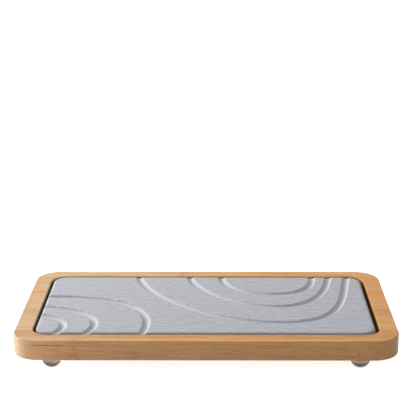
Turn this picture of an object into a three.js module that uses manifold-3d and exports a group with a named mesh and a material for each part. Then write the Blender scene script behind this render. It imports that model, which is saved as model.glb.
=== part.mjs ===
// Drying tray for a vanity: a bamboo tray milled from one panel, a loose absorbent stone slab
// with six drain grooves lying in its pocket, and four clear stick-on feet.
// Millimetres, +Z up, +X along the length. The origin is on the table, under the middle of the tray.

import * as THREE from 'three';
import { mergeVertices, toCreasedNormals } from 'three/addons/utils/BufferGeometryUtils.js';
import Module from 'manifold-3d';

const wasm = await Module();
wasm.setup();

// Tray
const TRAY_LENGTH = 300;
const TRAY_WIDTH = 160;
const TRAY_THICKNESS = 16;
const TRAY_CORNER_RADIUS = 20;
const TRAY_EDGE_ROUND = 0.8;

// Pocket routed into the top of the tray
const RAIL_AT_ENDS = 14;
const RAIL_AT_SIDES = 13.5;
const POCKET_DEPTH = 9.5;
const POCKET_CORNER_RADIUS = 13;
const POCKET_LIP_CHAMFER = 0.5;

// Slab, which stands a little proud of the rails so that it can be gripped and lifted out.
// It lies loose, slightly to the left of the pocket's middle.
const SLAB_GAP_AT_ENDS = 2.7;
const SLAB_GAP_AT_SIDES = 2.3;
const SLAB_FROM_MIDDLE = -0.45;
const SLAB_PROUD = 0.5;
const SLAB_EDGE_ROUND = 2.2;

// Drain grooves, cut by a ball-ended tool
const GROOVE_WIDTH = 5.9;
const GROOVE_DEPTH = 1.7;
const GROOVE_STEP = 4.5;

// Feet
const FOOT_RADIUS = 8;
const FOOT_HEIGHT = 9.5;
const FOOT_FLAT_RADIUS = 2.5;
const FOOT_FROM_ENDS = 30;
const FOOT_FROM_SIDES = 13;
const ADHESIVE_THICKNESS = 0.5;
const ADHESIVE_RADIUS = 7.2;

// Fineness of the round faces
const CORNER_STEPS = 5;
const ROUND_STEPS = 3;
const DOME_STEPS = 4;
const TURN_STEPS = 24;
const TOOL_STEPS = 10;
const CREASE_ANGLE = Math.PI / 5;

// How far a cutter reaches past the face that it enters
const CUTTER_REACH = 4;

// Levels above the table
const TRAY_BOTTOM = FOOT_HEIGHT + ADHESIVE_THICKNESS;
const TRAY_TOP = TRAY_BOTTOM + TRAY_THICKNESS;
const POCKET_FLOOR = TRAY_TOP - POCKET_DEPTH;
const SLAB_TOP = TRAY_TOP + SLAB_PROUD;

// Sizes that follow from the tray
const POCKET_LENGTH = TRAY_LENGTH - 2 * RAIL_AT_ENDS;
const POCKET_WIDTH = TRAY_WIDTH - 2 * RAIL_AT_SIDES;
const SLAB_LENGTH = POCKET_LENGTH - 2 * SLAB_GAP_AT_ENDS;
const SLAB_WIDTH = POCKET_WIDTH - 2 * SLAB_GAP_AT_SIDES;
const SLAB_CORNER_RADIUS = POCKET_CORNER_RADIUS - SLAB_GAP_AT_SIDES / 2;

// Centre lines of the grooves in plan: chained cubic curves, as on, off, off, on and so forth.
// Three quarter ripples run from the left edge to the front edge, and three hang from the back edge.
const GROOVE_LINES = [
  [[-136, -26.6], [-123.8, -28.9], [-102.6, -42.4], [-118.7, -67]],
  [[-136, -8.1], [-111.7, -12], [-73.1, -30.2], [-94.7, -67]],
  [[-136, 14.8], [-77.5, 16.4], [-36.1, -8.4], [-50, -67]],
  [[12.7, 68], [8.8, 37.9], [35.2, 21.5], [57.7, 21.5], [76.9, 21.5], [92.9, 35.2], [91, 68]],
  [[-15.5, 68], [-14.2, 27.1], [28.4, -7.3], [57.6, -7.3], [85, -7.3], [102.4, 20.5], [106, 68]],
  [[-60.5, 68], [-54, 11], [7.7, -42.3], [58.6, -42.3], [111.6, -42.3], [112.8, 6.6], [122.2, 68]],
];

// Finishes
const bamboo = new THREE.MeshStandardMaterial({ color: '#d3a670', roughness: 0.5, metalness: 0 });
const stone = new THREE.MeshStandardMaterial({ color: '#b7b8bd', roughness: 0.85, metalness: 0 });
const clearRubber = new THREE.MeshStandardMaterial({
  color: '#d9d2cb',
  roughness: 0.15,
  metalness: 0,
  transparent: true,
  opacity: 0.55,
});
const adhesiveFilm = new THREE.MeshStandardMaterial({ color: '#c4b49c', roughness: 0.6, metalness: 0 });

// Closed geometry to a solid that can be cut. Only positions are kept, so that faces share their corners.
function solidFrom(geometry) {
  geometry.deleteAttribute('normal');
  geometry.deleteAttribute('uv');
  const merged = mergeVertices(geometry);
  const mesh = new wasm.Mesh({
    numProp: 3,
    vertProperties: merged.attributes.position.array,
    triVerts: Uint32Array.from(merged.index.array),
  });
  return new wasm.Manifold(mesh);
}

// Solid back to geometry, shaded smooth on its rounds and sharp on its edges.
function geometryFrom(solid) {
  const { vertProperties, triVerts } = solid.getMesh();
  const geometry = new THREE.BufferGeometry();
  geometry.setAttribute('position', new THREE.BufferAttribute(vertProperties, 3));
  geometry.setIndex(new THREE.BufferAttribute(triVerts, 1));
  return toCreasedNormals(geometry, CREASE_ANGLE);
}

// Rounded rectangle about the origin, its corners true arcs.
function roundedRectangle(length, width, radius) {
  const x = length / 2 - radius;
  const y = width / 2 - radius;
  const outline = new THREE.Shape();
  outline.absarc(x, y, radius, 0, Math.PI / 2);
  outline.absarc(-x, y, radius, Math.PI / 2, Math.PI);
  outline.absarc(-x, -y, radius, Math.PI, 1.5 * Math.PI);
  outline.absarc(x, -y, radius, 1.5 * Math.PI, 2 * Math.PI);
  return outline;
}

// Board of that outline standing on z = bottom, with the same quarter round on both rims.
function roundedBoard(outline, bottom, thickness, round) {
  const board = new THREE.ExtrudeGeometry(outline, {
    depth: thickness - 2 * round,
    bevelThickness: round,
    bevelSize: round,
    bevelOffset: -round,
    bevelSegments: ROUND_STEPS,
    curveSegments: CORNER_STEPS,
  });
  return solidFrom(board.translate(0, 0, bottom + round));
}

// Pocket with upright walls. The flared underside of a second cutter chamfers its lip.
function pocketCutters() {
  const outline = roundedRectangle(POCKET_LENGTH, POCKET_WIDTH, POCKET_CORNER_RADIUS);
  const well = new THREE.ExtrudeGeometry(outline, {
    depth: POCKET_DEPTH + CUTTER_REACH,
    bevelEnabled: false,
    curveSegments: CORNER_STEPS,
  });
  const lip = new THREE.ExtrudeGeometry(outline, {
    depth: CUTTER_REACH,
    bevelThickness: POCKET_LIP_CHAMFER,
    bevelSize: POCKET_LIP_CHAMFER,
    bevelSegments: 1,
    curveSegments: CORNER_STEPS,
  });
  return [
    solidFrom(well.translate(0, 0, POCKET_FLOOR)),
    solidFrom(lip.translate(0, 0, TRAY_TOP)),
  ];
}

function makeTray() {
  const outline = roundedRectangle(TRAY_LENGTH, TRAY_WIDTH, TRAY_CORNER_RADIUS);
  const board = roundedBoard(outline, TRAY_BOTTOM, TRAY_THICKNESS, TRAY_EDGE_ROUND);
  const [well, lip] = pocketCutters();
  return geometryFrom(board.subtract(well).subtract(lip));
}

// Path of the ball tool's centre above one groove's centre line.
function toolPath(line, height) {
  const points = line.map(([x, y]) => new THREE.Vector3(x, y, height));
  const path = new THREE.CurvePath();
  for (let i = 0; i + 3 < points.length; i += 3) {
    path.add(new THREE.CubicBezierCurve3(...points.slice(i, i + 4)));
  }
  return path;
}

// The room that a ball tool sweeps: its radius makes the groove as wide and as deep as asked.
function grooveCutter(line) {
  const radius = ((GROOVE_WIDTH / 2) ** 2 + GROOVE_DEPTH ** 2) / (2 * GROOVE_DEPTH);
  const path = toolPath(line, SLAB_TOP - GROOVE_DEPTH + radius);
  const section = new THREE.Shape().absarc(0, 0, radius, 0, 2 * Math.PI);
  const sweep = new THREE.ExtrudeGeometry(section, {
    steps: Math.ceil(path.getLength() / GROOVE_STEP),
    curveSegments: TOOL_STEPS,
    extrudePath: path,
  });
  return solidFrom(sweep);
}

function makeSlab() {
  const outline = roundedRectangle(SLAB_LENGTH, SLAB_WIDTH, SLAB_CORNER_RADIUS);
  const board = roundedBoard(outline, POCKET_FLOOR, SLAB_TOP - POCKET_FLOOR, SLAB_EDGE_ROUND);
  let slab = board.translate(SLAB_FROM_MIDDLE, 0, 0);
  for (const line of GROOVE_LINES) {
    slab = slab.subtract(grooveCutter(line));
  }
  return geometryFrom(slab);
}

// Dome turned about its own axis: a small flat to stand on, a round side and a short straight collar.
function makeFoot() {
  const domeCentre = Math.sqrt(FOOT_RADIUS ** 2 - FOOT_FLAT_RADIUS ** 2);
  const profile = new THREE.Path();
  profile.moveTo(0, 0);
  profile.lineTo(FOOT_FLAT_RADIUS, 0);
  profile.absarc(0, domeCentre, FOOT_RADIUS, -Math.acos(FOOT_FLAT_RADIUS / FOOT_RADIUS), 0);
  profile.lineTo(FOOT_RADIUS, FOOT_HEIGHT);
  profile.lineTo(0, FOOT_HEIGHT);
  const dome = new THREE.LatheGeometry(profile.getPoints(DOME_STEPS), TURN_STEPS);
  return dome.rotateX(Math.PI / 2);
}

function makeAdhesive() {
  const disc = new THREE.CylinderGeometry(ADHESIVE_RADIUS, ADHESIVE_RADIUS, ADHESIVE_THICKNESS, TURN_STEPS);
  return disc.rotateX(Math.PI / 2);
}

const tray = new THREE.Group();

function add(name, geometry, material, x = 0, y = 0, z = 0) {
  const mesh = new THREE.Mesh(geometry, material);
  mesh.name = name;
  mesh.position.set(x, y, z);
  tray.add(mesh);
}

add('bamboo_tray', makeTray(), bamboo);
add('stone_slab', makeSlab(), stone);

// A foot near each corner, stuck on by its adhesive disc
const footX = TRAY_LENGTH / 2 - FOOT_FROM_ENDS;
const footY = TRAY_WIDTH / 2 - FOOT_FROM_SIDES;
for (const [row, y] of [['front', -footY], ['rear', footY]]) {
  for (const [side, x] of [['left', -footX], ['right', footX]]) {
    add(`foot_${row}_${side}`, makeFoot(), clearRubber, x, y);
    add(`adhesive_${row}_${side}`, makeAdhesive(), adhesiveFilm, x, y, FOOT_HEIGHT + ADHESIVE_THICKNESS / 2);
  }
}

export default tray;
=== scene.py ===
import bpy
import numpy as np
from mathutils import Matrix, Vector


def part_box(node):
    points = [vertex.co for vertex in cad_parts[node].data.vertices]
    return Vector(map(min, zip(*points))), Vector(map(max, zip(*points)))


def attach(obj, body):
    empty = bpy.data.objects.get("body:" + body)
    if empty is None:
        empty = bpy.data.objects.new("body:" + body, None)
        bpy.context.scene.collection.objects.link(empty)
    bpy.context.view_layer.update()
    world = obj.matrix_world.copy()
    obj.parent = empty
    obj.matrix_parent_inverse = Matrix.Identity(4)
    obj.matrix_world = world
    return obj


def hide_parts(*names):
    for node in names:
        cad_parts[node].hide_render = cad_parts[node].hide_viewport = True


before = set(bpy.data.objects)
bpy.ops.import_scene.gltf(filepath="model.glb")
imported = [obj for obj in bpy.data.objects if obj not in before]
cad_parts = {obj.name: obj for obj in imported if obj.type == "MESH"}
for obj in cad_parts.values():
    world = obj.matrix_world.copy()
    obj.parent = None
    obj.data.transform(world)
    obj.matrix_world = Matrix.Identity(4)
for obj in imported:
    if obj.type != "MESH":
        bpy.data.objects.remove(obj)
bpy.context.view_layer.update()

# Bamboo drying tray with a loose grooved stone slab. Metres, +X along the length, +Y to the back, +Z up.
mm = 0.001
print("frame loaded:", ", ".join(sorted(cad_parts)))


def outlinePath(cornerSteps, longSteps, shortSteps):
    # One turn round a rounded rectangle, anticlockwise from the right end. A point on it is
    # signs * cornerCentre + normals * reach: normals turns at a corner, signs runs along a side.
    corners = np.array([(1, 1), (-1, 1), (-1, -1), (1, -1)], float)
    signs, normals = [], []
    for k in range(4):
        angles = (k + np.linspace(0, 1, cornerSteps + 1)) * np.pi / 2
        heading = np.stack([np.cos(angles), np.sin(angles)], 1)
        run = np.linspace(0, 1, (longSteps, shortSteps)[k % 2] + 1)[1:-1, None]
        nextCorner = corners[(k + 1) % 4]
        signs += [np.tile(corners[k], (len(angles), 1)), corners[k] * (1 - run) + nextCorner * run]
        normals += [heading, np.tile(heading[-1], (len(run), 1))]
    return np.concatenate(signs), np.concatenate(normals)


def carryRound(rows, signs, normals):
    # Each profile row (centreX, centreY, reach, height) becomes one ring: signs * centre + normals * reach.
    rings = np.empty((len(rows), len(signs), 3))
    rings[..., :2] = signs * rows[:, None, :2] + normals * rows[:, None, 2:3]
    rings[..., 2] = rows[:, None, 3]
    return rings


def ringFaces(ringCount, ringSize):
    # Quads between neighbouring rings, and a fan at each end to a pole: the last two points of the mesh.
    i = np.arange(ringSize)
    after = (i + 1) % ringSize
    first = np.arange(ringCount - 1)[:, None] * ringSize
    quads = np.stack([first + i, first + after, first + ringSize + after, first + ringSize + i], -1)
    last = (ringCount - 1) * ringSize
    pole = np.full(ringSize, ringCount * ringSize)
    fans = np.concatenate([np.stack([pole, after, i], 1), np.stack([last + i, last + after, pole + 1], 1)])
    return quads.reshape(-1, 4), fans


def makePiece(name, points, faces, finish, slot, body, node):
    mesh = bpy.data.meshes.new(name)
    mesh.from_pydata(points.tolist(), [], [face for group in faces for face in group.tolist()])
    mesh.polygons.foreach_set("use_smooth", np.ones(len(mesh.polygons), bool))
    mesh.materials.append(finish.owner)
    piece = bpy.data.objects.new(name, mesh)
    bpy.context.scene.collection.objects.link(piece)
    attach(piece, body)
    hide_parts(node)
    print(f"{name}: {len(mesh.vertices)} points, {len(mesh.polygons)} faces")
    return piece


def ringPiece(name, rings, *rest):
    poles = rings[[0, -1]].mean(1)
    points = np.concatenate([rings.reshape(-1, 3), poles])
    return makePiece(name, points, ringFaces(*rings.shape[:2]), *rest)


def paintPoints(piece, name, values):
    layer = piece.data.attributes.new(name, "FLOAT", "POINT")
    layer.data.foreach_set("value", np.asarray(values, np.float32).ravel())


class Wire:
    # A shader socket that takes part in sums: each operator adds one Math node.
    def __init__(self, finish, socket):
        self.finish = finish
        self.socket = socket

    def __add__(self, other):
        return self.finish.maths("ADD", self, other)

    def __radd__(self, other):
        return self.finish.maths("ADD", other, self)

    def __sub__(self, other):
        return self.finish.maths("SUBTRACT", self, other)

    def __rsub__(self, other):
        return self.finish.maths("SUBTRACT", other, self)

    def __mul__(self, other):
        return self.finish.maths("MULTIPLY", self, other)

    def __rmul__(self, other):
        return self.finish.maths("MULTIPLY", other, self)

    def __truediv__(self, other):
        return self.finish.maths("DIVIDE", self, other)

    def __rtruediv__(self, other):
        return self.finish.maths("DIVIDE", other, self)

    def __mod__(self, other):
        return self.finish.maths("FLOORED_MODULO", self, other)

    def __rmod__(self, other):
        return self.finish.maths("FLOORED_MODULO", other, self)

    def __abs__(self):
        return self.finish.maths("ABSOLUTE", self)


class Finish:
    # The nodes of a material or a world. node() adds any node: settings first, then values or wires.
    def __init__(self, owner, shader="Principled BSDF"):
        self.owner = owner
        owner.use_nodes = True
        self.tree = owner.node_tree
        self.surface = self.tree.nodes[shader]

    def join(self, socket, value):
        if isinstance(value, Wire):
            self.tree.links.new(value.socket, socket)
        else:
            socket.default_value = value

    def node(self, kind, settings=None, sockets=None, output=0):
        made = self.tree.nodes.new(kind)
        for key, value in (settings or {}).items():
            if key == "stops":
                self.setStops(made.color_ramp.elements, value)
            else:
                setattr(made, key, value)
        for key, value in (sockets or {}).items():
            self.join(made.inputs[key], value)
        return Wire(self, made.outputs[output])

    def setStops(self, elements, stops):
        while len(elements) < len(stops):
            elements.new(1)
        for element, (position, colour) in zip(elements, stops):
            element.position = position
            element.color = colour

    def set(self, **sockets):
        for key, value in sockets.items():
            self.join(self.surface.inputs[key.replace("_", " ")], value)

    def maths(self, operation, *values):
        return self.node("ShaderNodeMath", {"operation": operation}, dict(enumerate(values)))

    def millimetres(self):
        # Object coordinates in millimetres, as three wires
        place = self.node("ShaderNodeTexCoord", output="Object")
        split = [self.node("ShaderNodeSeparateXYZ", None, {0: place}, output=k) for k in range(3)]
        return [axis * 1000 for axis in split]

    def noise(self, x, y, z, detail=2, rough=0.5):
        # Soft noise from 0 to 1 about 0.5, one blob per unit
        place = self.node("ShaderNodeCombineXYZ", None, {0: x, 1: y, 2: z})
        sockets = {"Vector": place, "Scale": 1, "Detail": detail, "Roughness": rough}
        return self.node("ShaderNodeTexNoise", None, sockets)

    def chance(self, value):
        # One random number for each whole value
        return self.node("ShaderNodeTexWhiteNoise", {"noise_dimensions": "1D"}, {"W": value})

    def ease(self, value, low, high):
        # 0 at low, 1 at high, smooth between and level beyond; low may be the larger one
        limits = {"Value": value, "From Min": low, "From Max": high}
        return self.node("ShaderNodeMapRange", {"interpolation_type": "SMOOTHSTEP"}, limits)

    def painted(self, name):
        return self.node("ShaderNodeAttribute", {"attribute_name": name}, output="Fac")

    def mix(self, share, first, second, blend="MIX"):
        settings = {"data_type": "RGBA", "blend_type": blend}
        return self.node("ShaderNodeMix", settings, {0: share, 6: first, 7: second}, output=2)

    def ramp(self, value, *stops):
        return self.node("ShaderNodeValToRGB", {"stops": stops}, {0: value})

    def bump(self, height, depth):
        return self.node("ShaderNodeBump", None, {"Height": height, "Distance": depth})

    def seen(self):
        # 1 for what the eye sees straight, in a gloss or through something clear, 0 for light on its way
        camera, gloss, clear = [
            self.node("ShaderNodeLightPath", output=name)
            for name in ("Is Camera Ray", "Is Glossy Ray", "Is Transmission Ray")
        ]
        return self.maths("MAXIMUM", camera, self.maths("MAXIMUM", gloss, clear))


def newFinish(name):
    return Finish(bpy.data.materials.new(name))


def paint(red, green, blue):
    # A screen colour, 0 to 255, as the linear colour that shaders take
    c = np.array([red, green, blue]) / 255
    linear = np.where(c <= 0.04045, c / 12.92, ((c + 0.055) / 1.055) ** 2.4)
    return (*linear.tolist(), 1.0)


# Bamboo: three plies of strips glued side by side, fibres along X, a node now and then on each strip.
# The top is warmer towards the front right and paler towards the back left, that paleness partly a painted
# sheen; the sides carry painted light. Lengths in millimetres.
bamboo = {
    "dark": paint(200, 152, 112),
    "middle": paint(226, 191, 158),
    "light": paint(243, 218, 192),
    # The top: a warm tint to the front right and a pale one to the back left, the paleness partly the
    # wood's own tone and partly a painted sheen
    "sheenPaleTop": (0.8, 0.75, 0.6, 1.0),
    "warmTop": (0.83, 0.62, 0.32, 1.0),
    "warmSlope": (0.4, -0.12),
    "warmFrom": -54,
    "warmTo": 14,
    # The sides: a painted highlight at the left corner, painted shade on both end faces and darkening to
    # the right, over the sides' own tint
    "sideFrom": -150,
    "sideTo": 150,
    "sideTintsAndLight": (
        (0, (0.5, 0.44, 0.32, 1.0)), (0.005, (0.98, 0.98, 0.98, 1.0)), (0.015, (1.0, 1.0, 1.0, 1.0)),
        (0.05, (0.9, 0.76, 0.6, 1.0)), (0.1, (0.85, 0.66, 0.47, 1.0)),
        (0.5, (0.76, 0.6, 0.39, 1.0)), (0.9, (0.71, 0.55, 0.34, 1.0)),
        (0.975, (0.63, 0.49, 0.31, 1.0)), (0.99, (0.56, 0.44, 0.28, 1.0)), (1, (0.5, 0.41, 0.27, 1.0)),
    ),
    "orangeStrip": (0.99, 0.9, 0.76, 1.0),
    "hueSeed": 36,
    "frontEdge": -87,
    "stripWidth": 15,
    "stripWaver": 3,
    "stripContrast": 0.3,
    # Grain: length of a streak along X, streaks per millimetre across
    "fibre": (40, 0.9),
    "fibreContrast": 1.5,
    "hair": (6, 2.2),
    "hairContrast": 1.0,
    "cloud": (110, 1 / 7),
    "cloudContrast": 0.45,
    # It is calm in the middle and at the ends, and stronger along the front and back rails
    "calmGrain": 0.55,
    "railGrain": 0.4,
    "railAcross": (56, 68),
    "railAlong": (138, 118),
    "sideCalm": 0.25,
    "endGrainCalm": 0.4,
    "poreColour": paint(160, 98, 48),
    "poreStrength": 0.5,
    "dotStrength": 0.35,
    "nodeColour": paint(150, 100, 58),
    "nodeStrength": 0.35,
    "nodeSpacing": 262,
    "nodeStagger": 97,
    "nodeOnFrontStrip": -100,
    "nodeHalf": 7,
    "nodeWander": 12,
    "glueColour": paint(88, 56, 32),
    "glueStrength": 0.1,
    "plyHeights": (15.5, 22.3),
    "openGlueStrength": 0.6,
    "openGlueMiddle": -120,
    "openGlueHalf": 12.5,
    "knot": (117.5, 15.1),
    "knotStrength": 0.5,
    # Painted shade on the pocket walls below the lip
    "pocketShadeColour": paint(60, 40, 26),
    "pocketShadeStrength": 0.65,
    "roughness": 0.46,
    "specular": 0.18,
    "relief": 0.09 * mm,
}


def bambooFinish():
    b = bamboo
    f = newFinish("bamboo")
    x, y, z = f.millimetres()
    endGrain, upright = f.painted("endGrain"), f.painted("upright")
    waver = f.noise(x / 70, y / 40, z / 40) - 0.5
    across = y + b["stripWaver"] * waver
    strip = f.maths("FLOOR", (across - b["frontEdge"]) / b["stripWidth"])
    luck = f.chance(strip) - 0.5
    along = x + 400 * luck

    def grain(kind, detail=2, rough=0.5):
        # Noise drawn out along the strip, about 0
        length, density = b[kind]
        return f.noise(along / length, across * density, z * density, detail, rough) - 0.5

    fibre, hair, cloud = grain("fibre", 3, 0.6), grain("hair"), grain("cloud")
    streaks = b["stripContrast"] * luck + b["fibreContrast"] * fibre
    streaks = streaks + b["hairContrast"] * hair + b["cloudContrast"] * cloud
    longRail = f.ease(abs(across), *b["railAcross"]) * f.ease(abs(x), *b["railAlong"])
    streaks = streaks * (b["calmGrain"] + b["railGrain"] * longRail)
    tone = 0.5 + streaks * (1 - b["sideCalm"] * upright) * (1 - b["endGrainCalm"] * endGrain)
    wood = f.ramp(tone, (0.16, b["dark"]), (0.5, b["middle"]), (0.84, b["light"]))

    # Tints: the top is warmer to the front right and paler to the back left, that paleness partly a painted
    # sheen; on the sides, a painted highlight at the left corner and painted shade on both end faces and
    # darkening to the right, over the sides' own tint; some strips more orange
    slopeX, slopeY = b["warmSlope"]
    topToneAndSheen = f.mix(f.ease(slopeX * x + slopeY * y, b["warmFrom"], b["warmTo"]), b["sheenPaleTop"], b["warmTop"])
    sideToneAndLight = f.ramp((x - b["sideFrom"]) / (b["sideTo"] - b["sideFrom"]), *b["sideTintsAndLight"])
    wood = f.mix(1, wood, f.mix(upright, topToneAndSheen, sideToneAndLight), "MULTIPLY")
    orange = f.ease(f.chance(strip + b["hueSeed"]), 0.3, 0.9) * (1 - upright)
    wood = f.mix(orange, wood, b["orangeStrip"], "MULTIPLY")
    wood = f.mix(b["poreStrength"] * f.ease(hair, 0.12, 0.3), wood, b["poreColour"])

    # Nodes: a wandering band of short dark dashes across the strip
    half = b["nodeSpacing"] / 2
    wander = b["nodeWander"] * (f.noise(x / 9, y / 4, z / 4) - 0.5)
    fromNode = (x + wander - b["nodeOnFrontStrip"] + b["nodeStagger"] * strip) % b["nodeSpacing"]
    ridge = f.ease(abs(fromNode - half), half - b["nodeHalf"], half)
    dashes = f.ease(f.noise(x / 5, across * 1.1, z * 1.1, detail=3), 0.4, 0.6)
    wood = f.mix(b["nodeStrength"] * ridge * dashes, wood, b["nodeColour"])

    # Glue lines between the plies, faint but for one open stretch at the front left, and a pin knot
    openGlue = f.ease(abs(x - b["openGlueMiddle"]), b["openGlueHalf"] + 3, b["openGlueHalf"] - 3)
    openGlue = b["openGlueStrength"] * openGlue * f.ease(y, -62, -70)
    for height, more in zip(b["plyHeights"], (0, openGlue)):
        line = f.ease(abs(z - height + 0.6 * waver), 0.5, 0.15)
        wood = f.mix((b["glueStrength"] + more) * line, wood, b["glueColour"])
    knotX, knotZ = b["knot"]
    knot = f.ease(f.maths("SQRT", (x - knotX) * (x - knotX) + (z - knotZ) * (z - knotZ)), 1.3, 0.4)
    wood = f.mix(b["knotStrength"] * knot * f.ease(y, -76, -78), wood, b["glueColour"])

    # End grain: the cut bundles show as dots
    dots = f.ease(f.noise(x / 30, y * 1.1, z * 1.1, detail=3), 0.4, 0.65)
    wood = f.mix(b["dotStrength"] * f.ease(endGrain, 0.9, 1) * dots, wood, b["poreColour"])
    # Painted shade: the pocket walls darken below the lip, standing in for the shade in the gap round the
    # slab
    wood = f.mix(b["pocketShadeStrength"] * f.painted("pocketShade"), wood, b["pocketShadeColour"])
    f.set(Base_Color=wood, Roughness=b["roughness"] - 0.2 * fibre)
    f.set(Specular_IOR_Level=b["specular"], Normal=f.bump(fibre + 0.5 * hair, b["relief"]))
    return f


# Stone: pressed powder with a brushed top, smooth and paler inside the grooves. Lengths in millimetres.
stone = {
    "dark": paint(146, 147, 153),
    "middle": paint(177, 178, 183),
    "light": paint(208, 209, 215),
    "groove": paint(190, 191, 197),
    # Brush marks: length along X, gauge across
    "line": (26, 0.7),
    "lineContrast": 1.6,
    "dash": (8, 1.1),
    "dashContrast": 1.0,
    "gritContrast": 0.2,
    "brushFrom": 25.6,
    "brushTo": 26.45,
    "edgeShade": 0.15,
    "roughness": 0.8,
    "specular": 0.3,
    "relief": 0.022 * mm,
}


def stoneFinish():
    f = newFinish("stone")
    x, y, z = f.millimetres()
    groove = f.painted("grooveShare")

    def brushed(kind, detail):
        # Noise drawn out along X, less the same one gauge further back, which leaves lines but no patches
        length, gauge = stone[kind]
        here = f.noise(x / length, y / gauge, z / gauge, detail)
        return here - f.noise(x / length, y / gauge + 1, z / gauge, detail)

    broken = f.ease(f.noise(x / 4, y / 0.6, z / 0.6), 0.3, 0.7)
    level = f.ease(z, stone["brushFrom"], stone["brushTo"])  # 0 on the slab's sides, 1 on its flat top
    strength = 0.15 + 0.85 * level * (1 - 0.85 * groove)
    lines = stone["lineContrast"] * broken * brushed("line", 0)
    streaks = strength * (lines + stone["dashContrast"] * brushed("dash", 2))
    grit = f.noise(x * 1.8, y * 1.8, z * 1.8) - 0.5
    tone = 0.5 + streaks + stone["gritContrast"] * grit - stone["edgeShade"] * (1 - level)
    top = f.ramp(tone, (0.1, stone["dark"]), (0.5, stone["middle"]), (0.9, stone["light"]))
    f.set(Base_Color=f.mix(groove, top, stone["groove"]))
    f.set(Roughness=stone["roughness"] - 0.15 * streaks, Specular_IOR_Level=stone["specular"])
    f.set(Normal=f.bump(streaks + 0.25 * grit, stone["relief"]))
    return f


# Feet: clear soft rubber, with a faint haze
rubber = {"tint": paint(172, 157, 149), "haze": paint(148, 134, 126), "clearness": 0.85, "bending": 1.46}


def rubberFinish():
    f = newFinish("clearRubber")
    x, y, z = f.millimetres()
    haze = f.noise(x / 3, y / 3, z / 3, detail=3)
    f.set(Base_Color=f.mix(haze, rubber["tint"], rubber["haze"]))
    f.set(Roughness=0.1 + 0.12 * haze, Transmission_Weight=rubber["clearness"], IOR=rubber["bending"])
    return f


# Adhesive: thin clear film, so the board's underside shows through it
adhesive = {"pale": paint(206, 188, 166), "shade": paint(186, 166, 142), "clearness": 0.5, "bending": 1.46}


def adhesiveFinish():
    f = newFinish("adhesive")
    x, y, z = f.millimetres()
    cells = f.noise(x * 2.5, y * 2.5, z * 2.5)
    f.set(Base_Color=f.mix(cells, adhesive["pale"], adhesive["shade"]), Roughness=0.3 + 0.2 * cells)
    f.set(Transmission_Weight=adhesive["clearness"], IOR=adhesive["bending"])
    return f


finishes = {
    "bamboo": bambooFinish(), "stone": stoneFinish(),
    "rubber": rubberFinish(), "adhesive": adhesiveFinish(),
}
print("finishes made:", ", ".join(finishes))

# Tray: one board with rounded corners and a routed pocket
tray = {
    "cornerRadius": 20 * mm,
    "edgeRound": 0.8 * mm,
    "railAtEnds": 14 * mm,
    "railAtSides": 13.5 * mm,
    "pocketRadius": 13 * mm,
    "pocketDepth": 9.5 * mm,
    "lipRound": 0.7 * mm,
    "floorCove": 0.8 * mm,
    "supportRing": 0.4 * mm,
    "shadeFrom": 0.8 * mm,
    "shadeTo": 3.0 * mm,
    "shadeOnFloor": 5 * mm,
    "pathSteps": (28, 64, 32),
    "arcSteps": 8,
}


def trayRows(low, high):
    # Profile from the middle of the underside, up the outside, over the rail and down to the pocket floor.
    # Two more columns: how upright the outside is there, and how far it is into the pocket's painted shade.
    half = np.array([high.x, high.y])
    pocketHalf = half - (tray["railAtEnds"], tray["railAtSides"])
    floor = high.z - tray["pocketDepth"]
    a = np.linspace(0, np.pi / 2, tray["arcSteps"])

    def rows(halfSize, radius, inset, height, upright=0.0, shade=0.0):
        columns = np.broadcast_arrays(np.atleast_1d(radius - inset), height, upright, shade)
        centre = np.tile(halfSize - radius, (len(columns[0]), 1))
        return np.column_stack([centre, *columns])

    def outer(*values):
        return rows(half, tray["cornerRadius"], *values)

    def pocket(*values):
        return rows(pocketHalf, tray["pocketRadius"], *values)

    def shrunk(row, shares):
        return np.concatenate([row * (share, share, share, 1, 1, 1) for share in shares])

    r, lip, cove, ring = tray["edgeRound"], tray["lipRound"], tray["floorCove"], tray["supportRing"]
    under = outer(r + ring, low.z)
    bottomRound = outer(r - r * np.sin(a), low.z + r - r * np.cos(a), np.sin(a))
    topRound = outer(r - r * np.cos(a), high.z - r + r * np.sin(a), np.cos(a))
    railOut = outer(r + ring, high.z)
    railIn = pocket(-lip - ring, high.z)
    lipRound = pocket(lip * np.sin(a) - lip, high.z - lip + lip * np.cos(a))
    wall = pocket(0, high.z - np.array([tray["shadeFrom"], tray["shadeTo"]]), 0, np.array([0, 1]))
    coveRound = pocket(cove - cove * np.cos(a), floor + cove - cove * np.sin(a), 0, 1)
    bedEdge = pocket(cove + ring, floor, 0, 1)
    bed = pocket(cove + tray["shadeOnFloor"], floor)
    return np.concatenate([
        shrunk(under, (0.2, 0.6, 1)), bottomRound, topRound, railOut, (railOut + railIn) / 2, railIn,
        lipRound, wall, coveRound, bedEdge, shrunk(bed, (1, 0.6, 0.2)),
    ])


def makeTray():
    rows = trayRows(*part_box("bamboo_tray"))
    signs, normals = outlinePath(*tray["pathSteps"])
    rings = carryRound(rows, signs, normals)
    piece = ringPiece("bambooTray", rings, finishes["bamboo"], "bamboo", "tray", "bamboo_tray")
    endGrain = rows[:, 4:5] * abs(normals[:, 0])
    upright, pocketShade = np.repeat(rows[:, 4:].T, len(normals), axis=1)
    paintPoints(piece, "endGrain", np.append(endGrain, (0, 0)))
    paintPoints(piece, "upright", np.append(upright, (0, 0)))
    paintPoints(piece, "pocketShade", np.append(pocketShade, (0, 0)))


makeTray()

# Slab: loose in the pocket, six round-bottomed drain grooves
slab = {
    "cornerRadius": 11.85 * mm,
    "edgeRound": 2.2 * mm,
    "grooveWidth": 5.9 * mm,
    "grooveDepth": 1.7 * mm,
    "lipSoftness": 0.15 * mm,
    "runOutSoftness": 0.15 * mm,
    "underInset": 1.3,
    "cell": (0.72 * mm, 0.6 * mm),
    "edgeSteps": 8,
    "curveSteps": 60,
}

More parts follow.
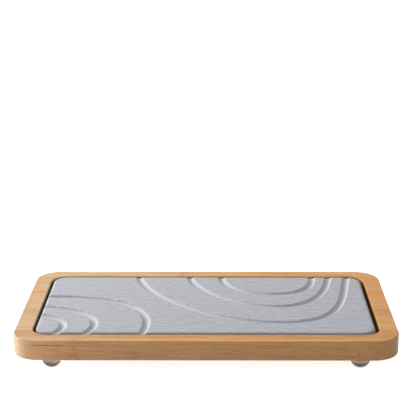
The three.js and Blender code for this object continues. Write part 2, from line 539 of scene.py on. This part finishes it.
# Groove centre lines in plan, in mm: chained cubic curves, as on, off, off, on and so forth
grooveLines = [
    [(-136, -26.6), (-123.8, -28.9), (-102.6, -42.4), (-118.7, -67)],
    [(-136, -8.1), (-111.7, -12), (-73.1, -30.2), (-94.7, -67)],
    [(-136, 14.8), (-77.5, 16.4), (-36.1, -8.4), (-50, -67)],
    [(12.7, 68), (8.8, 37.9), (35.2, 21.5), (57.7, 21.5), (76.9, 21.5), (92.9, 35.2), (91, 68)],
    [(-15.5, 68), (-14.2, 27.1), (28.4, -7.3), (57.6, -7.3), (85, -7.3), (102.4, 20.5), (106, 68)],
    [(-60.5, 68), (-54, 11), (7.7, -42.3), (58.6, -42.3), (111.6, -42.3), (112.8, 6.6), (122.2, 68)],
]


def grooveTrack(line):
    # Cubic curves: the four points of each span weighted by s^3, 3ts^2, 3t^2s and t^3, where s is 1 - t
    p = np.array(line) * mm
    t = np.linspace(0, 1, slab["curveSteps"])[:, None]
    s = 1 - t
    spans = [
        s ** 3 * p[k] + 3 * t * s ** 2 * p[k + 1] + 3 * t ** 2 * s * p[k + 2] + t ** 3 * p[k + 3]
        for k in range(0, len(p) - 1, 3)
    ]
    return np.concatenate([spans[0], *[span[1:] for span in spans[1:]]])


def offsetFrom(track, points):
    # Vector to each point from the nearest place on the straight runs of a track
    run = np.diff(track, axis=0)
    away = points[:, None] - track[:-1]
    share = np.clip((away * run).sum(2) / (run ** 2).sum(1), 0, 1)
    away -= share[..., None] * run
    nearest = (away ** 2).sum(2).argmin(1)
    return away[np.arange(len(points)), nearest]


def grooveOffset(points):
    # The same for all grooves, each looked for only in its own neighbourhood
    offset = np.full(points.shape, 1.0)
    margin = slab["grooveWidth"]
    for line in grooveLines:
        track = grooveTrack(line)
        near = np.flatnonzero(((points > track.min(0) - margin) & (points < track.max(0) + margin)).all(1))
        found = offsetFrom(track, points[near])
        nearer = (found ** 2).sum(1) < (offset[near] ** 2).sum(1)
        offset[near[nearer]] = found[nearer]
    return offset


def softMax(a, b, softness):
    return (a + b + np.sqrt((a - b) ** 2 + softness ** 2)) / 2


def edgeSpacing(reach, cell):
    # From -reach to reach: even cells, and rows that follow the edge round at equal angles
    r = slab["edgeRound"]
    band = r - r * np.sin(np.linspace(np.pi / 2, 0, slab["edgeSteps"]))
    inner = np.linspace(r - reach, reach - r, int(2 * (reach - r) / cell) + 1)
    return np.concatenate([band[:-1] - reach, inner, reach - band[-2::-1]])


def beyondCorner(points, half):
    # How far a point lies beyond the centres of the corner arcs, along X and Y
    return abs(points) - (half - slab["cornerRadius"])


def insideBy(points, half):
    # Distance in from the outline: the corner arc's radius less the reach beyond its centre
    q = beyondCorner(points, half)
    return slab["cornerRadius"] - np.linalg.norm(np.maximum(q, 0), axis=1) - np.minimum(q.max(1), 0)


def outwardAt(points, half):
    q = np.maximum(beyondCorner(points, half), 0) * np.sign(points)
    return q / np.linalg.norm(q, axis=1, keepdims=True)


def slabTop(half, middle):
    # Grid over the outline, narrowed to the corner arcs. Points close to a groove's lip slide onto it.
    y = edgeSpacing(half[1], slab["cell"][1])
    u = edgeSpacing(half[0], slab["cell"][0]) / half[0]
    q = np.maximum(abs(y) - (half[1] - slab["cornerRadius"]), 0)
    reach = half[0] - slab["cornerRadius"] + np.sqrt(np.maximum(slab["cornerRadius"] ** 2 - q ** 2, 0))
    top = np.stack([u * reach[:, None], np.tile(y[:, None], len(u))], -1).reshape(-1, 2)
    offset = grooveOffset(top + middle)
    distance = np.linalg.norm(offset, axis=1)
    toLip = slab["grooveWidth"] / 2 - distance
    slides = (abs(toLip) < max(slab["cell"]) / 2) & (insideBy(top, half) > slab["edgeRound"])
    top[slides] += offset[slides] * (toLip / distance)[slides, None]
    return top, np.arange(len(top)).reshape(len(y), len(u))


def slabDrop(points, half, middle):
    # How far the top lies below its flat: a circle across each groove, a quarter circle along the edge.
    # Also how far a point is in a groove, which fades over a quarter of the half width at the lip.
    d, e = np.linalg.norm(grooveOffset(points + middle), axis=1), insideBy(points, half)
    w, g, r = slab["grooveWidth"] / 2, slab["grooveDepth"], slab["edgeRound"]
    ball = (w ** 2 + g ** 2) / (2 * g)
    bowl = np.sqrt(ball ** 2 - np.minimum(d, w) ** 2) - (ball - g) - np.maximum(d - w, 0) * w / (ball - g)
    groove = np.where(d > 2 * w, 0, softMax(bowl, 0 * d, slab["lipSoftness"]))
    edge = r - np.sqrt(r ** 2 - np.clip(r - e, 0, r) ** 2)
    grooveShare = np.clip((w - d) / (0.25 * w) + 0.3, 0, 1)
    return softMax(groove, edge, slab["runOutSoftness"] * (e < r)), grooveShare


def splitCells(grid, height):
    # Each cell of the grid as two triangles, parted along the diagonal that is closer to level
    a, b, c, d = [part.ravel() for part in (grid[:-1, :-1], grid[:-1, 1:], grid[1:, 1:], grid[1:, :-1])]
    level = abs(height[a] - height[c]) < abs(height[b] - height[d])
    first = np.where(level, (a, b, c), (a, b, d))
    second = np.where(level, (a, c, d), (b, c, d))
    return np.concatenate([first.T, second.T])


def makeSlab():
    low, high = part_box("stone_slab")
    half, middle = np.array((high - low).xy) / 2, np.array((high + low).xy) / 2
    top, grid = slabTop(half, middle)
    drop, grooveShare = slabDrop(top, half, middle)

    # Walls: the rim of the grid carried down, round the lower edge and in to the middle of the underside
    rim = np.concatenate([grid[0, :-1], grid[:-1, -1], grid[-1, :0:-1], grid[:0:-1, 0]])
    outward = outwardAt(top[rim], half)
    a = np.linspace(0, np.pi / 2, slab["edgeSteps"])
    r = slab["edgeRound"]
    insets = np.append(r - r * np.cos(a), slab["underInset"] * r)
    heights = low.z + np.append(r - r * np.sin(a), 0)
    wall = np.empty((len(insets), len(rim), 3))
    wall[..., :2] = top[rim] - insets[:, None, None] * outward
    wall[..., 2] = heights[:, None]
    points = np.concatenate([np.column_stack([top, high.z - drop]), wall.reshape(-1, 3), wall[-1:].mean(1)])
    points[:, :2] += middle
    loops = np.concatenate([rim[None], len(top) + np.arange(wall[..., 0].size).reshape(wall.shape[:2])])
    after = np.roll(loops, -1, axis=1)
    sides = np.stack([loops[:-1], loops[1:], after[1:], after[:-1]], -1).reshape(-1, 4)
    pole = np.full(len(rim), len(points) - 1)
    under = np.stack([loops[-1], pole, after[-1]], 1)
    faces = (splitCells(grid, drop), sides, under)
    piece = makePiece("stoneSlab", points, faces, finishes["stone"], "stone", "slab", "stone_slab")
    paintPoints(piece, "grooveShare", np.append(grooveShare, np.zeros(len(points) - len(top))))


makeSlab()

# Feet: clear domes with a small worn flat and a short collar, each on its adhesive disc
foot = {
    "places": ("frontLeft", "frontRight", "rearLeft", "rearRight"),
    "flatRadius": 2.5 * mm,
    "collarRound": 0.6 * mm,
    "flatRing": 0.6,
    "topRing": 0.7,
    "domeSteps": 26,
    "collarSteps": 6,
    "aroundSteps": 72,
}


def makeFoot(name, node):
    # Profile turned about the foot's own axis: flat, arc of the dome, collar, small round, flat top
    low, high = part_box(node)
    radius = (high.x - low.x) / 2
    flat, r = foot["flatRadius"], foot["collarRound"]
    domeCentre = low.z + np.sqrt(radius ** 2 - flat ** 2)
    dome = np.linspace(-np.arccos(flat / radius), 0, foot["domeSteps"])
    a = np.linspace(0, np.pi / 2, foot["collarSteps"])
    inner, outer = foot["flatRing"] * flat, foot["topRing"] * radius
    reach = np.concatenate([[inner], radius * np.cos(dome), radius - r + r * np.cos(a), [outer]])
    rise = domeCentre + radius * np.sin(dome)
    height = np.concatenate([[low.z], rise, high.z - r + r * np.sin(a), [high.z]])
    turn = np.linspace(0, 2 * np.pi, foot["aroundSteps"], endpoint=False)
    circle = np.stack([np.cos(turn), np.sin(turn)], 1)
    rows = np.column_stack([np.zeros((len(reach), 2)), reach, height])
    rings = carryRound(rows, np.zeros_like(circle), circle)
    rings[..., :2] += ((low + high) / 2).xy
    ringPiece(name, rings, finishes["rubber"], "clear_rubber", "tray", node)


for place in foot["places"]:
    corner = place.replace("Left", "_left").replace("Right", "_right")
    makeFoot("clearFoot" + place[0].upper() + place[1:], "foot_" + corner)
    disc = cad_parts["adhesive_" + corner].data
    disc.materials.clear()
    disc.materials.append(finishes["adhesive"].owner)

# Studio: white sweep, bright soft sky and two soft boxes, a low one on the left and a higher one behind it
studio = {
    "skyStrength": 0.48,
    "floorSize": 12,
    "floorLines": 9,
    "floorColour": paint(250, 250, 250),
    "floorGlow": 0.86,
    "glowFrom": 300,
    "glowTo": 1400,
    "boxAim": (0, 0, 0.02),
    "boxSize": 0.6,
    "lowBoxPlace": (-1.34, 0.49, 0.46),
    "lowBoxPower": 16.4,
    "highBoxPlace": (-0.97, 0.82, 0.8),
    "highBoxPower": 13.4,
}


def makeFloor():
    f = newFinish("whiteSweep")
    x, y, z = f.millimetres()
    away = f.maths("SQRT", x * x + y * y)
    dim = studio["floorGlow"]
    glow = f.seen() * (dim + (1 - dim) * f.ease(away, studio["glowFrom"], studio["glowTo"]))
    f.set(Base_Color=studio["floorColour"], Roughness=0.9, Specular_IOR_Level=0.0)
    f.set(Emission_Color=f.node("ShaderNodeCombineColor", None, {0: glow, 1: glow, 2: glow}))
    f.set(Emission_Strength=1.0)
    edge = np.linspace(-0.5, 0.5, studio["floorLines"]) * studio["floorSize"]
    gx, gy = np.meshgrid(edge, edge)
    points = np.stack([gx.ravel(), gy.ravel(), 0 * gx.ravel()], 1)
    grid = np.arange(gx.size).reshape(gx.shape)
    cells = np.stack([grid[:-1, :-1], grid[:-1, 1:], grid[1:, 1:], grid[1:, :-1]], -1).reshape(-1, 4)
    mesh = bpy.data.meshes.new("floor")
    mesh.from_pydata(points.tolist(), [], cells.tolist())
    mesh.materials.append(f.owner)
    floor = bpy.data.objects.new("floor", mesh)
    bpy.context.scene.collection.objects.link(floor)


def makeSky():
    bpy.context.scene.world = bpy.data.worlds.new("studio")
    f = Finish(bpy.context.scene.world, "Background")
    f.set(Color=(1, 1, 1, 1), Strength=studio["skyStrength"] + (1 - studio["skyStrength"]) * f.seen())


def makeBox(name):
    lamp = bpy.data.lights.new(name, "AREA")
    lamp.size = studio["boxSize"]
    lamp.energy = studio[name + "Power"]
    box = bpy.data.objects.new(name, lamp)
    box.location = studio[name + "Place"]
    box.rotation_mode = "QUATERNION"
    box.rotation_quaternion = (Vector(studio["boxAim"]) - box.location).to_track_quat("-Z", "Y")
    bpy.context.scene.collection.objects.link(box)


# Camera: standing view, found from the tray's own edges
camera = {
    "aboveRails": (11.25 * mm, -910.9 * mm, 350.4 * mm),
    "pitchDown": 16.386,
    "yaw": 0.625,
    "roll": -0.168,
    "lens": 101.67,
    "sensor": 36,
}


def makeCamera():
    lens = bpy.data.cameras.new("camera")
    lens.sensor_width = camera["sensor"]
    lens.lens = camera["lens"]
    lens.clip_start = 0.05
    lens.clip_end = 50
    eye = bpy.data.objects.new("camera", lens)
    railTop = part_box("bamboo_tray")[1].z
    pitch, yaw, roll = np.radians([90 - camera["pitchDown"], camera["yaw"], camera["roll"]])
    eye.matrix_world = (
        Matrix.Translation(Vector(camera["aboveRails"]) + Vector((0, 0, railTop)))
        @ Matrix.Rotation(yaw, 4, "Z") @ Matrix.Rotation(pitch, 4, "X") @ Matrix.Rotation(roll, 4, "Z")
    )
    bpy.context.scene.collection.objects.link(eye)
    bpy.context.scene.camera = eye


makeFloor()
makeSky()
makeBox("lowBox")
makeBox("highBox")
makeCamera()
bpy.context.scene.view_settings.view_transform = "Standard"
print("studio and camera set")
